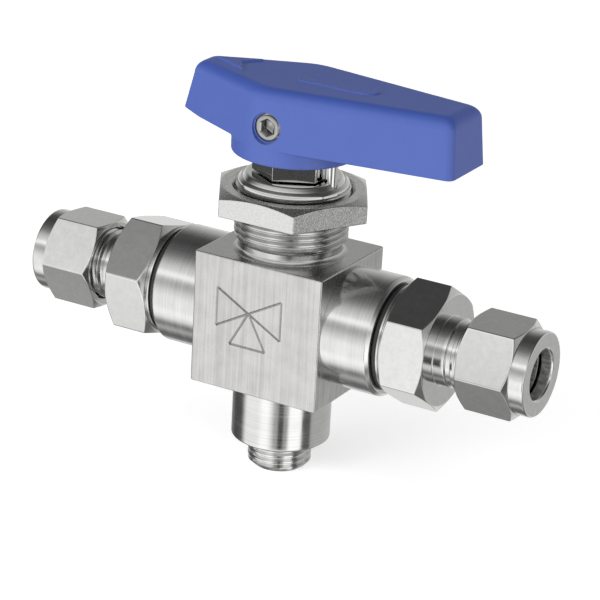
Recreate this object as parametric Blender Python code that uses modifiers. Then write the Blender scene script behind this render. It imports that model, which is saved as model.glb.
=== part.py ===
"""Three way ball valve with tube compression ends, modelled piece by piece.

Frame: origin where the run axis meets the stem axis, +X along the run towards the
right tube end, +Z up the stem to the handle.  Lengths are written in millimetres
and turned into metres by MM.  Touching pieces keep a gap of GAP to each other.
"""
import math

import bmesh
import bpy
from mathutils import Matrix, Vector

MM = 0.001
GAP = 0.3
PITCH = 1.27                 # 20 threads per inch on every thread of the valve

# Block, run bosses, neck and bottom port (all one machined body)
BLOCK_X = 14.2
BLOCK_Y = 12.4
BLOCK_TOP = 12.75
BLOCK_BOTTOM = -14.6
BLOCK_EDGE = 0.3
BOSS_R = 12.0
BOSS_END = 24.5
NECK_R = 11.25
NECK_RELIEF_R = 10.2
NECK_FILLET = 1.07
NECK_THREAD_BOTTOM = 14.8
NECK_THREAD_TOP = 26.4
NECK_TOP = 28.5
NECK_TOP_R = 9.3
THREAD_DEPTH = 0.6
PORT_R = 9.93
PORT_END = -26.7
STUB_R = 6.4
STUB_RELIEF_R = 5.8
STUB_END = -33.0
STUB_SOCKET_R = 4.05

# Flow way, ball and seats
BORE_R = 3.55
BALL_R = 7.15
CAVITY_R = 9.2
SEAT_BACK = 9.0
SEAT_FRONT = 5.3
SLOT_HALF = 1.6
SLOT_FLOOR = 5.0

# Stem, packing and packing nut
STEM_R = 3.1
STEM_FLANGE_R = 4.9
STEM_FLANGE_TOP = 9.6
STEM_TOP = 44.0
STEM_FLAT_Y = 2.6
GLAND_BORE_R = 3.4
CHAMBER_R = 5.7
CHAMBER_FLOOR = 14.5
FLANGE_SEAT = 11.0
PACKING_HEX = 14.29
PACKING_HEX_BOTTOM = 28.8
PACKING_HEX_TOP = 32.4
PACKING_HEX_TURN = -31.2
STOP_PIN_R = 1.2
STOP_PIN_AT = 8.8
STOP_PIN_ANGLE = -6.5
STOP_PIN_TOP = 36.0
STOP_PIN_FOOT = 24.5

# Panel nut
PANEL_HEX = 28.575
PANEL_BOTTOM = 21.4
PANEL_TOP = 25.9

# End connectors and compression nuts
CONN_HEX = 22.225
CONN_HEX_START = 26.5
CONN_HEX_END = 35.9
CONN_TURN = {1: 5.3, -1: -15.9}
CONN_THREAD_R = 7.14
CONN_END = 47.6
TUBE_SOCKET_R = 4.9
TUBE_STOP = 40.0
NUT_HEX = 17.46
NUT_START = 41.4
NUT_HEX_END = 52.6
NUT_END = 55.6
NUT_COLLAR_R = 8.4
NUT_BORE_R = 4.95
NUT_TURN = {1: 25.0, -1: 31.9}
HEX_CHAMFER_SLOPE = math.tan(math.radians(30.0))

# Handle
HUB_R = 12.5
HUB_BOTTOM = 33.0
ARM_BOTTOM = 36.2
HANDLE_TOP = 47.8
HANDLE_DRAFT = 0.08
HANDLE_FILLET = 2.6
ARM_TIP = 37.2
ARM_TIP_HALF = 7.05
WING_TIP = 24.4
WING_TIP_HALF = 2.9
WING_RAKE = 0.2
TIP_CORNER = 1.6
ARROW_RISE = 0.6
WALL = 2.2
SCREW_Z = 40.3
SCREW_R = 2.5
SCREW_HEAD_Y = 11.5
SCREW_TIP_Y = 2.95

ROUND = 36                   # facets round a large turned piece
SMALL_ROUND = 24             # facets round a small one


def collection(name):
    """Make a collection under the scene and return it."""
    new = bpy.data.collections.new(name)
    bpy.context.scene.collection.children.link(new)
    return new


def finish(name, colour, roughness, metallic):
    """A Principled material of one colour."""
    mat = bpy.data.materials.new(name)
    mat.use_nodes = True
    shader = mat.node_tree.nodes["Principled BSDF"]
    shader.inputs["Base Color"].default_value = (*colour, 1.0)
    shader.inputs["Roughness"].default_value = roughness
    shader.inputs["Metallic"].default_value = metallic
    mat.diffuse_color = (*colour, 1.0)
    return mat


def place(name, mesh, mat, group):
    """Put a mesh in the scene as a named object with its own material."""
    obj = bpy.data.objects.new(name, mesh)
    group.objects.link(obj)
    if mat is not None:
        mesh.materials.append(mat)
    if group is CUTTERS:
        obj.hide_render = True
        obj.display_type = "WIRE"
    return obj


def turned(name, profile, mat, group, steps=ROUND, along="Z"):
    """Turn a profile of (radius, height) points round an axis with a Screw modifier.

    The points run down the outer side; a profile that starts and ends on the axis
    is a solid, and any other is closed into a ring.  along is Z, or +1 or -1 for
    the right or left end of the run axis.
    """
    mesh = bpy.data.meshes.new(name)
    verts = [(r * MM, 0.0, h * MM) for r, h in profile]
    edges = [(i, i + 1) for i in range(len(verts) - 1)]
    if profile[0][0] > 0.0:
        edges.append((len(verts) - 1, 0))
    mesh.from_pydata(verts, edges, [])
    obj = place(name, mesh, mat, group)
    screw = obj.modifiers.new("turn", "SCREW")
    screw.axis = "Z"
    screw.angle = 2.0 * math.pi
    screw.steps = steps
    screw.render_steps = steps
    screw.use_merge_vertices = True
    screw.merge_threshold = 0.00001
    screw.use_smooth_shade = False
    if along != "Z":
        obj.rotation_euler = (0.0, along * math.pi / 2.0, 0.0)
    return obj


def prism(name, across_flats, low, high, turn, mat, group, along="Z"):
    """A hexagon prism; turn is the angle in degrees of its first corner."""
    bm = bmesh.new()
    radius = across_flats / math.sqrt(3.0)
    bmesh.ops.create_cone(bm, cap_ends=True, segments=6, radius1=radius * MM,
                          radius2=radius * MM, depth=(high - low) * MM)
    shift = Matrix.Translation((0.0, 0.0, 0.5 * (low + high) * MM))
    spin = Matrix.Rotation(math.radians(turn), 4, "Z")
    first = Matrix.Rotation(-first_corner(bm), 4, "Z")
    bmesh.ops.transform(bm, matrix=shift @ spin @ first, verts=bm.verts)
    mesh = bpy.data.meshes.new(name)
    bm.to_mesh(mesh)
    bm.free()
    obj = place(name, mesh, mat, group)
    if along != "Z":
        obj.rotation_euler = (0.0, along * math.pi / 2.0, 0.0)
    return obj


def first_corner(bm):
    """Angle about Z of a prism's corner nearest the +X direction."""
    angles = [math.atan2(v.co.y, v.co.x) for v in bm.verts]
    return min(angles, key=abs)


def box(name, low, high, mat, group):
    """A box between two corners given in millimetres."""
    bm = bmesh.new()
    bmesh.ops.create_cube(bm, size=1.0)
    low = Vector(low)
    high = Vector(high)
    size = (high - low) * MM
    middle = (high + low) * 0.5 * MM
    bmesh.ops.scale(bm, vec=size, verts=bm.verts)
    bmesh.ops.translate(bm, vec=middle, verts=bm.verts)
    mesh = bpy.data.meshes.new(name)
    bm.to_mesh(mesh)
    bm.free()
    return place(name, mesh, mat, group)


def ball(name, radius, mat, group):
    """A UV sphere round the origin."""
    bm = bmesh.new()
    bmesh.ops.create_uvsphere(bm, u_segments=SMALL_ROUND, v_segments=14, radius=radius * MM)
    mesh = bpy.data.meshes.new(name)
    bm.to_mesh(mesh)
    bm.free()
    return place(name, mesh, mat, group)


def combine(obj, other, operation):
    """Add a Boolean modifier: UNION, DIFFERENCE or INTERSECT with another object."""
    mod = obj.modifiers.new(operation.lower(), "BOOLEAN")
    mod.operation = operation
    mod.solver = "EXACT"
    mod.object = other
    return obj


def rod(radius, low, high):
    """Profile of a plain solid cylinder."""
    return [(0.0, high), (radius, high), (radius, low), (0.0, low)]


def ring(inner, outer, low, high):
    """Profile of a plain ring, down the outside and up the bore."""
    return [(outer, high), (outer, low), (inner, low), (inner, high)]


def hex_outline(across_flats, start, end):
    """Turned envelope of a hexagon bar with its corners chamfered at both ends."""
    corner = across_flats / math.sqrt(3.0) + 0.05
    flat = across_flats / 2.0 - 0.1
    drop = (corner - flat) * HEX_CHAMFER_SLOPE
    return [(flat, end), (corner, end - drop), (corner, start + drop), (flat, start)]


def shade(obj):
    """Round pieces are smooth with their corners kept sharp."""
    obj.data.shade_smooth()
    obj.data.set_sharp_from_angle(angle=math.radians(30.0))


# ---------------------------------------------------------------- body and flow way

def neck_thread():
    """Crest and root points down the panel thread on the neck."""
    turns = int((NECK_THREAD_TOP - NECK_THREAD_BOTTOM) / PITCH)
    points = []
    for i in range(turns):
        top = NECK_THREAD_TOP - i * PITCH
        points.append((NECK_R, top))
        points.append((NECK_R - THREAD_DEPTH, top - PITCH / 2.0))
    points.append((NECK_R, NECK_THREAD_TOP - turns * PITCH))
    return points


def neck_relief():
    """Smooth waist below the thread, rounded out to the thread's radius at its foot."""
    points = [(NECK_RELIEF_R, NECK_THREAD_BOTTOM - 0.4)]
    for angle in (0.0, 30.0, 60.0):
        out = NECK_FILLET * (1.0 - math.cos(math.radians(angle)))
        drop = NECK_FILLET * (1.0 - math.sin(math.radians(angle)))
        points.append((NECK_RELIEF_R + out, BLOCK_TOP + drop))
    foot = NECK_R + 0.15
    return points + [(foot, BLOCK_TOP - 0.02), (foot, BLOCK_TOP - 2.0)]


def valve_body():
    """Block with two run bosses, the threaded neck and the bottom port."""
    body = box("valve_body", (-BLOCK_X, -BLOCK_Y, BLOCK_BOTTOM),
               (BLOCK_X, BLOCK_Y, BLOCK_TOP), STEEL, PARTS)
    edge = body.modifiers.new("edges", "BEVEL")
    edge.width = BLOCK_EDGE * MM
    edge.segments = 1
    half = BOSS_END - 0.8
    boss = [(0.0, BOSS_END), (BOSS_R - 0.8, BOSS_END), (BOSS_R, half),
            (BOSS_R, -half), (BOSS_R - 0.8, -BOSS_END), (0.0, -BOSS_END)]
    combine(body, turned("cut_bosses", boss, None, CUTTERS, along=1), "UNION")
    column = [(0.0, NECK_TOP), (NECK_TOP_R, NECK_TOP), *neck_thread(), *neck_relief(),
              (PORT_R, 10.0), (PORT_R, PORT_END + 0.4), (PORT_R - 0.4, PORT_END),
              (STUB_R + 0.05, PORT_END), (STUB_RELIEF_R, PORT_END - 0.65),
              (STUB_RELIEF_R, PORT_END - 0.8), (STUB_R, PORT_END - 1.4),
              (STUB_R, STUB_END + 1.0), (STUB_R - 1.0, STUB_END), (0.0, STUB_END)]
    combine(body, turned("cut_column", column, None, CUTTERS), "UNION")
    run = rod(CAVITY_R, -BOSS_END - 2.0, BOSS_END + 2.0)
    combine(body, turned("cut_run", run, None, CUTTERS, along=1), "DIFFERENCE")
    upright = [(0.0, NECK_TOP + 2.0), (CHAMBER_R, NECK_TOP + 2.0),
               (CHAMBER_R, CHAMBER_FLOOR), (GLAND_BORE_R, CHAMBER_FLOOR),
               (GLAND_BORE_R, FLANGE_SEAT), (STEM_FLANGE_R + GAP, FLANGE_SEAT),
               (STEM_FLANGE_R + GAP, 1.0), (BORE_R, 0.0), (BORE_R, -25.0),
               (STUB_SOCKET_R, -25.5), (STUB_SOCKET_R, -31.0),
               (STUB_SOCKET_R + 0.7, STUB_END - 0.1),
               (STUB_SOCKET_R + 0.7, STUB_END - 2.0), (0.0, STUB_END - 2.0)]
    combine(body, turned("cut_upright", upright, None, CUTTERS), "DIFFERENCE")
    hole = turned("cut_pin_hole", rod(STOP_PIN_R + GAP, STOP_PIN_FOOT - GAP, 40.0), None,
                  CUTTERS, steps=12)
    hole.location = pin_place()
    combine(body, hole, "DIFFERENCE")
    shade(body)


def pin_place():
    """Where the stop pin stands, as a location in metres."""
    angle = math.radians(STOP_PIN_ANGLE)
    reach = STOP_PIN_AT * MM
    return (reach * math.cos(angle), reach * math.sin(angle), 0.0)


def stop_pin():
    """Dowel in the neck that the handle's slot runs up against."""
    profile = [(0.0, STOP_PIN_TOP), (STOP_PIN_R - 0.3, STOP_PIN_TOP),
               (STOP_PIN_R, STOP_PIN_TOP - 0.3), (STOP_PIN_R, STOP_PIN_FOOT),
               (0.0, STOP_PIN_FOOT)]
    pin = turned("stop_pin", profile, BRIGHT, PARTS, steps=16)
    pin.location = pin_place()


def valve_ball():
    """Ball with an L shaped flow way: bottom to the left, and a slot for the stem."""
    obj = ball("ball", BALL_R, BRIGHT, PARTS)
    down = turned("cut_ball_down", rod(BORE_R, -BALL_R - 1.0, 1.0), None, CUTTERS, SMALL_ROUND)
    across = turned("cut_ball_across", rod(BORE_R, -0.5, BALL_R + 1.0), None, CUTTERS,
                    SMALL_ROUND, along=-1)
    combine(obj, down, "DIFFERENCE")
    combine(obj, across, "DIFFERENCE")
    slot = box("cut_ball_slot", (-BALL_R, -SLOT_HALF, SLOT_FLOOR),
               (BALL_R, SLOT_HALF, BALL_R + 1.0), None, CUTTERS)
    combine(obj, slot, "DIFFERENCE")
    shade(obj)


def seats():
    """PTFE seat rings with a hollow face that fits the ball."""
    hollow = ball("cut_seat_hollow", BALL_R + GAP, None, CUTTERS)
    for side, hand in ((1, "right"), (-1, "left")):
        profile = [(CAVITY_R - GAP, SEAT_BACK), (CAVITY_R - GAP, SEAT_FRONT + 0.8),
                   (CAVITY_R - GAP - 0.8, SEAT_FRONT), (BORE_R, SEAT_FRONT),
                   (BORE_R, SEAT_BACK)]
        seat = turned(hand + "_seat", profile, PTFE, PARTS, along=side)
        combine(seat, hollow, "DIFFERENCE")


# ---------------------------------------------------------------- stem and packing

def stem():
    """Stem put in from inside: tang, thrust flange, round shank and a set screw flat."""
    profile = [(0.0, STEM_TOP), (STEM_R - 0.4, STEM_TOP), (STEM_R, STEM_TOP - 0.4),
               (STEM_R, STEM_FLANGE_TOP), (STEM_FLANGE_R, STEM_FLANGE_TOP),
               (STEM_FLANGE_R, BALL_R + 0.45), (0.0, BALL_R + 0.45)]
    obj = turned("stem", profile, STEEL, PARTS, SMALL_ROUND)
    tang = box("cut_tang", (-3.9, -SLOT_HALF + GAP, SLOT_FLOOR + GAP),
               (3.9, SLOT_HALF - GAP, BALL_R + 1.2), None, CUTTERS)
    combine(obj, tang, "UNION")
    flat = box("cut_flat", (-5.0, -6.0, 34.0), (5.0, -STEM_FLAT_Y, STEM_TOP + 1.0), None, CUTTERS)
    combine(obj, flat, "DIFFERENCE")


def cup_ring(name, low, rise, mat):
    """Chevron ring: both faces slope up towards the middle of the ring."""
    inner = GLAND_BORE_R
    outer = CHAMBER_R - GAP
    middle = 0.5 * (inner + outer)
    thick = 1.1
    profile = [(outer, low + thick), (outer, low), (middle, low + rise), (inner, low),
               (inner, low + thick), (middle, low + rise + thick)]
    turned(name, profile, mat, PARTS, SMALL_ROUND)


def packing():
    """Everything round the stem between its flange and the packing nut."""
    outer = CHAMBER_R - GAP
    turned("stem_thrust_washer",
           ring(GLAND_BORE_R, STEM_FLANGE_R, STEM_FLANGE_TOP + GAP, FLANGE_SEAT - GAP),
           PEEK, PARTS, SMALL_ROUND)
    middle = 0.5 * (GLAND_BORE_R + outer)
    base = CHAMBER_FLOOR + GAP
    gland = [(outer, base + 1.0), (outer, base), (GLAND_BORE_R, base),
             (GLAND_BORE_R, base + 1.0), (middle, base + 1.6)]
    turned("lower_gland", gland, STEEL, PARTS, SMALL_ROUND)
    for i, name in enumerate(("packing_ring_lower", "packing_ring_middle",
                              "packing_ring_upper")):
        cup_ring(name, base + 1.3 + i * 1.4, 0.6, PTFE)
    cap = base + 1.3 + 3 * 1.4
    follower = [(outer, cap + 1.8), (outer, cap), (middle, cap + 0.6),
                (GLAND_BORE_R, cap), (GLAND_BORE_R, cap + 1.8)]
    turned("upper_gland", follower, STEEL, PARTS, SMALL_ROUND)
    spring_base = cap + 1.8 + GAP
    rise = 0.5
    thick = 0.5
    for i, name in enumerate(("spring_washer_lower", "spring_washer_upper")):
        low = spring_base + i * (rise + thick + GAP)
        up = rise if i == 0 else 0.0
        down = rise - up
        profile = [(outer, low + down + thick), (outer, low + down),
                   (GLAND_BORE_R, low + up), (GLAND_BORE_R, low + up + thick)]
        turned(name, profile, BRIGHT, PARTS, SMALL_ROUND)


def packing_nut():
    """Hexagon nut screwed into the neck, pressing on the spring washers."""
    foot = 25.6
    envelope = hex_outline(PACKING_HEX, PACKING_HEX_BOTTOM - 1.0, PACKING_HEX_TOP)
    profile = [*envelope[:2], (envelope[1][0], PACKING_HEX_BOTTOM),
               (CHAMBER_R - GAP, PACKING_HEX_BOTTOM), (CHAMBER_R - GAP, foot),
               (GLAND_BORE_R, foot), (GLAND_BORE_R, PACKING_HEX_TOP)]
    obj = turned("packing_nut", profile, BRIGHT, PARTS)
    cutter = prism("cut_packing_hex", PACKING_HEX, foot - 2.0, PACKING_HEX_TOP + 2.0,
                   PACKING_HEX_TURN, None, CUTTERS)
    combine(obj, cutter, "INTERSECT")


def panel_nut():
    """Large thin hexagon nut that clamps the valve in a panel."""
    corner = PANEL_HEX / math.sqrt(3.0) + 0.05
    flat = PANEL_HEX / 2.0 - 0.1
    drop = (corner - flat) * math.tan(math.radians(22.0))
    bore = NECK_R + GAP
    profile = [(flat, PANEL_TOP), (corner, PANEL_TOP - drop), (corner, PANEL_BOTTOM),
               (bore + 0.5, PANEL_BOTTOM), (bore, PANEL_BOTTOM + 0.5),
               (bore, PANEL_TOP - 0.5), (bore + 0.5, PANEL_TOP)]
    obj = turned("panel_nut", profile, STEEL, PARTS)
    cutter = prism("cut_panel_hex", PANEL_HEX, PANEL_BOTTOM - 2.0, PANEL_TOP + 2.0, 0.0,
                   None, CUTTERS)
    combine(obj, cutter, "INTERSECT")


# ---------------------------------------------------------------- run ends

def connector(side, hand):
    """End connector: shank in the body, collar, hexagon, neck and tube thread."""
    hexagon = hex_outline(CONN_HEX, CONN_HEX_START, CONN_HEX_END)
    shank = CAVITY_R - GAP
    profile = [(TUBE_SOCKET_R + 0.65, CONN_END), (CONN_THREAD_R - 0.7, CONN_END),
               (CONN_THREAD_R, CONN_END - 0.7), (CONN_THREAD_R, 41.2),
               (6.5, 40.6), (6.5, 38.4), (6.9, 38.2), (6.9, CONN_HEX_END),
               *hexagon, (10.6, CONN_HEX_START), (10.6, 26.3), (11.0, 26.2),
               (11.0, 25.8), (shank, 25.8), (shank, SEAT_BACK + GAP + 0.5),
               (shank - 0.5, SEAT_BACK + GAP), (BORE_R, SEAT_BACK + GAP),
               (BORE_R, TUBE_STOP), (TUBE_SOCKET_R, TUBE_STOP), (TUBE_SOCKET_R, 44.6)]
    obj = turned(hand + "_connector", profile, STEEL, PARTS, along=side)
    cutter = prism("cut_" + hand + "_hex", CONN_HEX, 0.0, CONN_END + 2.0,
                   hex_angle(CONN_TURN, side), None, CUTTERS, along=side)
    combine(obj, cutter, "INTERSECT")
    seal = [(10.3 + 0.35 * math.cos(math.radians(a)), 25.15 + 0.35 * math.sin(math.radians(a)))
            for a in range(337, -23, -45)]
    turned(hand + "_connector_seal", seal, RUBBER, PARTS, SMALL_ROUND, along=side)


def hex_angle(table, side):
    """Corner angle, before the piece is laid along X, of a flat tilted up from -Y."""
    tilt = table[side] + 30.0
    return -90.0 - tilt if side == 1 else -90.0 + tilt


def compression_nut(side, hand):
    """Nut with hexagon and round collar, bored for the thread, ferrules and tube."""
    hexagon = hex_outline(NUT_HEX, NUT_START, NUT_HEX_END)
    bore = CONN_THREAD_R + GAP
    profile = [(NUT_COLLAR_R - 0.4, NUT_END), (NUT_COLLAR_R, NUT_END - 0.4),
               (NUT_COLLAR_R, NUT_HEX_END), *hexagon, (bore + 0.4, NUT_START),
               (bore, NUT_START + 0.4), (bore, 49.2), (6.7, 50.0), (6.7, 51.7),
               (5.25, 53.2), (NUT_BORE_R, 53.2), (NUT_BORE_R, NUT_END - 0.4),
               (NUT_BORE_R + 0.4, NUT_END)]
    obj = turned(hand + "_nut", profile, STEEL, PARTS, along=side)
    cutter = prism("cut_" + hand + "_nut_hex", NUT_HEX, NUT_START - 2.0, NUT_END + 2.0,
                   hex_angle(NUT_TURN, side), None, CUTTERS, along=side)
    combine(obj, cutter, "INTERSECT")


def ferrules(side, hand):
    """Front ferrule with its nose in the connector's mouth, back ferrule behind it."""
    bore = TUBE_SOCKET_R - 0.05
    front = [(6.3, 49.5), (6.3, 48.3), (5.3, 48.0), (bore + 0.25, 46.0), (bore, 46.0),
             (bore, 49.5)]
    turned(hand + "_front_ferrule", front, BRIGHT, PARTS, SMALL_ROUND, along=side)
    back = [(5.3, 52.5), (6.3, 51.5), (6.3, 50.5), (5.6, 49.8), (bore, 49.8), (bore, 52.5)]
    turned(hand + "_back_ferrule", back, BRIGHT, PARTS, SMALL_ROUND, along=side)


# ---------------------------------------------------------------- handle

def handle_outline(inset, height):
    """Plan outline, counterclockwise, of hub, long arm (+X) and short wing (-X).

    The arms' sides are tangent to the hub circle and their tips are square with
    rounded corners; inset moves the whole outline inwards, and the wing's tip also
    leans in with height.
    """
    radius = HUB_R - inset
    rake = WING_RAKE * (height - ARM_BOTTOM)
    half = []
    for tip, tip_half, lean, sign in ((ARM_TIP, ARM_TIP_HALF, 0.0, 1),
                                      (WING_TIP, WING_TIP_HALF, rake, -1)):
        reach = math.hypot(tip, tip_half)
        taper = math.asin(HUB_R / reach) - math.atan2(tip_half, tip)
        end = tip - inset - lean
        corner_x = end - TIP_CORNER
        corner_y = (radius - TIP_CORNER - corner_x * math.sin(taper)) / math.cos(taper)
        arc = []
        for i in range(5):
            angle = (math.pi / 2.0 - taper) * i / 4.0
            arc.append((sign * (corner_x + TIP_CORNER * math.cos(angle)),
                        corner_y + TIP_CORNER * math.sin(angle)))
        touch = math.pi / 2.0 - taper
        arc.append((sign * radius * math.cos(touch), radius * math.sin(touch)))
        half.append(arc)
    upper = half[0] + [(0.0, radius)] + half[1][::-1]
    lower = [(x, -y) for x, y in reversed(upper)]
    return upper + lower


def loft(name, sections, mat, group):
    """Closed solid through outlines with the same number of points, low to high."""
    bm = bmesh.new()
    rings = [[bm.verts.new((x * MM, y * MM, z * MM)) for x, y in outline]
             for z, outline in sections]
    count = len(rings[0])
    for lower, upper in zip(rings, rings[1:]):
        for i in range(count):
            j = (i + 1) % count
            bm.faces.new((lower[i], lower[j], upper[j], upper[i]))
    bm.faces.new(rings[0][::-1])
    bm.faces.new(rings[-1])
    mesh = bpy.data.meshes.new(name)
    bm.to_mesh(mesh)
    bm.free()
    return place(name, mesh, mat, group)


def handle_inset(height):
    """How far the moulding's draft moves its side in at a height."""
    return HANDLE_DRAFT * (height - ARM_BOTTOM)


def handle_sections():
    """Outlines up the handle: drafted sides, then a rounded top edge."""
    start = HANDLE_TOP - HANDLE_FILLET
    sections = [(ARM_BOTTOM, handle_outline(0.0, ARM_BOTTOM)),
                (start, handle_outline(handle_inset(start), start))]
    for i in (1, 2, 3):
        angle = math.radians(30.0 * i)
        inset = handle_inset(start) + HANDLE_FILLET * (1.0 - math.cos(angle))
        height = start + HANDLE_FILLET * math.sin(angle)
        sections.append((height, handle_outline(inset, start)))
    return sections


def wedge_under_wing():
    """Cutter that makes the wing's underside rise towards its tip."""
    low = ARM_BOTTOM - 1.0
    outline = [(-8.0, low), (-WING_TIP - 2.0, low), (-WING_TIP - 2.0, ARM_BOTTOM + 2.0),
               (-19.0, ARM_BOTTOM + 1.0), (-9.0, ARM_BOTTOM + 0.6), (-8.0, ARM_BOTTOM - 0.4)]
    return side_extrusion("cut_under_wing", outline, 14.0)


def side_extrusion(name, outline, half_width):
    """Extrude an outline in the XZ plane to both sides of it."""
    bm = bmesh.new()
    near = [bm.verts.new((x * MM, -half_width * MM, z * MM)) for x, z in outline]
    far = [bm.verts.new((x * MM, half_width * MM, z * MM)) for x, z in outline]
    count = len(outline)
    for i in range(count):
        j = (i + 1) % count
        bm.faces.new((near[i], near[j], far[j], far[i]))
    bm.faces.new(near[::-1])
    bm.faces.new(far)
    bmesh.ops.recalc_face_normals(bm, faces=bm.faces)
    mesh = bpy.data.meshes.new(name)
    bm.to_mesh(mesh)
    bm.free()
    return place(name, mesh, None, CUTTERS)


def arc_slot():
    """Cutter for the half ring slot under the hub that the stop pin runs in."""
    slack = math.degrees((STOP_PIN_R + GAP) / STOP_PIN_AT) + 0.3
    first = STOP_PIN_ANGLE + slack
    last = STOP_PIN_ANGLE - 180.0 - slack
    inner = STOP_PIN_AT - STOP_PIN_R - GAP
    outer = STOP_PIN_AT + STOP_PIN_R + GAP
    steps = 26
    angles = [math.radians(first + (last - first) * i / steps) for i in range(steps + 1)]
    outline = [(outer * math.cos(a), outer * math.sin(a)) for a in reversed(angles)]
    outline += [(inner * math.cos(a), inner * math.sin(a)) for a in angles]
    low = HUB_BOTTOM - 1.0
    high = STOP_PIN_TOP + 0.4
    return loft("cut_pin_slot", [(low, outline), (high, outline)], None, CUTTERS)


def pocket(name, near, far, half_near, half_far, floor, side):
    """Cutter for one moulding pocket beside the arm's middle rib."""
    rib = 0.9
    corners = [(near, rib), (far, rib), (far, half_far), (near, half_near)]
    outline = [(x, side * y) for x, y in corners]
    if (far - near) * side < 0.0:
        outline.reverse()
    return loft(name, [(ARM_BOTTOM - 1.0, outline), (floor, outline)], None, CUTTERS)


def handle():
    """Moulded handle: hub, long arm, short pointer wing, pockets underneath."""
    obj = loft("handle", handle_sections(), BLUE, PARTS)
    combine(obj, wedge_under_wing(), "DIFFERENCE")
    hub = [(0.0, 44.0), (HUB_R - 0.9, 44.0), (HUB_R, ARM_BOTTOM), (HUB_R, HUB_BOTTOM + 0.4),
           (HUB_R - 0.4, HUB_BOTTOM), (0.0, HUB_BOTTOM)]
    combine(obj, turned("cut_hub", hub, None, CUTTERS), "UNION")
    arrow = [(-18.6, 0.0), (-10.4, -4.0), (-12.9, 0.0), (-10.4, 4.0)]
    rise = [(HANDLE_TOP - 1.5, arrow), (HANDLE_TOP + ARROW_RISE, arrow)]
    combine(obj, loft("cut_arrow", rise, None, CUTTERS), "UNION")
    bore = turned("cut_handle_bore", rod(STEM_R + GAP, HUB_BOTTOM - 1.0, STEM_TOP + 0.4), None,
                  CUTTERS, SMALL_ROUND)
    combine(obj, bore, "DIFFERENCE")
    screw = [(0.0, HUB_R + 2.0), (SCREW_R + 0.6, HUB_R + 2.0),
             (SCREW_R + 0.6, SCREW_HEAD_Y - 0.2), (SCREW_R + GAP, SCREW_HEAD_Y - 0.2),
             (SCREW_R + GAP, 1.5), (0.0, 1.5)]
    hole = turned("cut_screw_hole", screw, None, CUTTERS, SMALL_ROUND)
    hole.rotation_euler = (math.pi / 2.0, 0.0, 0.0)
    hole.location = (0.0, 0.0, SCREW_Z * MM)
    combine(obj, hole, "DIFFERENCE")
    combine(obj, arc_slot(), "DIFFERENCE")
    for side in (1, -1):
        word = "left" if side == 1 else "right"
        combine(obj, pocket("cut_arm_pocket_" + word, 12.5, ARM_TIP - WALL,
                            7.7, 4.6, HANDLE_TOP - 3.0, side), "DIFFERENCE")
    shade(obj)


def set_screw():
    """Socket set screw that locks the handle on the stem's flat."""
    profile = [(0.0, SCREW_HEAD_Y), (SCREW_R - 0.4, SCREW_HEAD_Y),
               (SCREW_R, SCREW_HEAD_Y - 0.4), (SCREW_R, SCREW_TIP_Y + 0.6),
               (SCREW_R - 0.6, SCREW_TIP_Y), (0.0, SCREW_TIP_Y)]
    obj = turned("handle_set_screw", profile, BRIGHT, PARTS, SMALL_ROUND)
    socket = prism("cut_socket", 2.4, SCREW_HEAD_Y - 2.6, SCREW_HEAD_Y + 1.0, 0.0, None, CUTTERS)
    for piece in (obj, socket):
        piece.rotation_euler = (math.pi / 2.0, 0.0, 0.0)
        piece.location = (0.0, 0.0, SCREW_Z * MM)
    combine(obj, socket, "DIFFERENCE")


for old in list(bpy.data.objects):
    bpy.data.objects.remove(old)

PARTS = collection("three_way_valve")
CUTTERS = collection("cutters")
STEEL = finish("stainless_steel", (0.60, 0.60, 0.59), 0.25, 1.0)
BRIGHT = finish("polished_steel", (0.70, 0.70, 0.69), 0.12, 1.0)
PTFE = finish("ptfe", (0.90, 0.90, 0.88), 0.45, 0.0)
PEEK = finish("peek", (0.55, 0.47, 0.36), 0.45, 0.0)
RUBBER = finish("black_rubber", (0.02, 0.02, 0.02), 0.55, 0.0)
BLUE = finish("blue_nylon", (0.06, 0.11, 0.46), 0.50, 0.0)

valve_body()
stop_pin()
valve_ball()
seats()
stem()
packing()
packing_nut()
panel_nut()
for run_side, run_hand in ((1, "right"), (-1, "left")):
    connector(run_side, run_hand)
    compression_nut(run_side, run_hand)
    ferrules(run_side, run_hand)
handle()
set_screw()
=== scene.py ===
"""Three way ball valve with tube compression ends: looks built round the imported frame.

Lengths in the profiles are millimetres and become metres when a mesh is made.
"""
import math

import bmesh
import bpy
import numpy as np
from mathutils import Matrix, Vector


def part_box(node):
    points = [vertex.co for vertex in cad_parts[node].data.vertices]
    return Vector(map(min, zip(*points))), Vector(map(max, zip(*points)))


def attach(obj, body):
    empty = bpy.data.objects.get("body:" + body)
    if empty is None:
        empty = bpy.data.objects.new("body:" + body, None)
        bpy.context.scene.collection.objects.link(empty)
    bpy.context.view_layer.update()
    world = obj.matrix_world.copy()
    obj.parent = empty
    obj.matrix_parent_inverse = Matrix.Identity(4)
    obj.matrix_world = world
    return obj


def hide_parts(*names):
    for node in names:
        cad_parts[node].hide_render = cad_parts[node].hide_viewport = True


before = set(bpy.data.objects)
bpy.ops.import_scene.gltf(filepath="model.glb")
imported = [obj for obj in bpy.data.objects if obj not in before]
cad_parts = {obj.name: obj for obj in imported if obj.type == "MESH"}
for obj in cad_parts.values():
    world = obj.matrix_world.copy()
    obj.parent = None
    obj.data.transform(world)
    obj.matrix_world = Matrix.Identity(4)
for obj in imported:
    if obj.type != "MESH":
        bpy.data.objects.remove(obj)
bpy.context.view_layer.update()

# ------------------------------------------------------------------ block
# The block is milled from stainless bar and its sides are ground with an upright
# grain.  The run is bored across it, the stem and bottom port straight through it,
# and a plain sign for a three way valve is cut shallow into its front.


def box_mm(node):
    """Lowest and highest corner of a solid in millimetres."""
    low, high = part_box(node)
    return np.array(low) * 1000.0, np.array(high) * 1000.0


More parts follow.
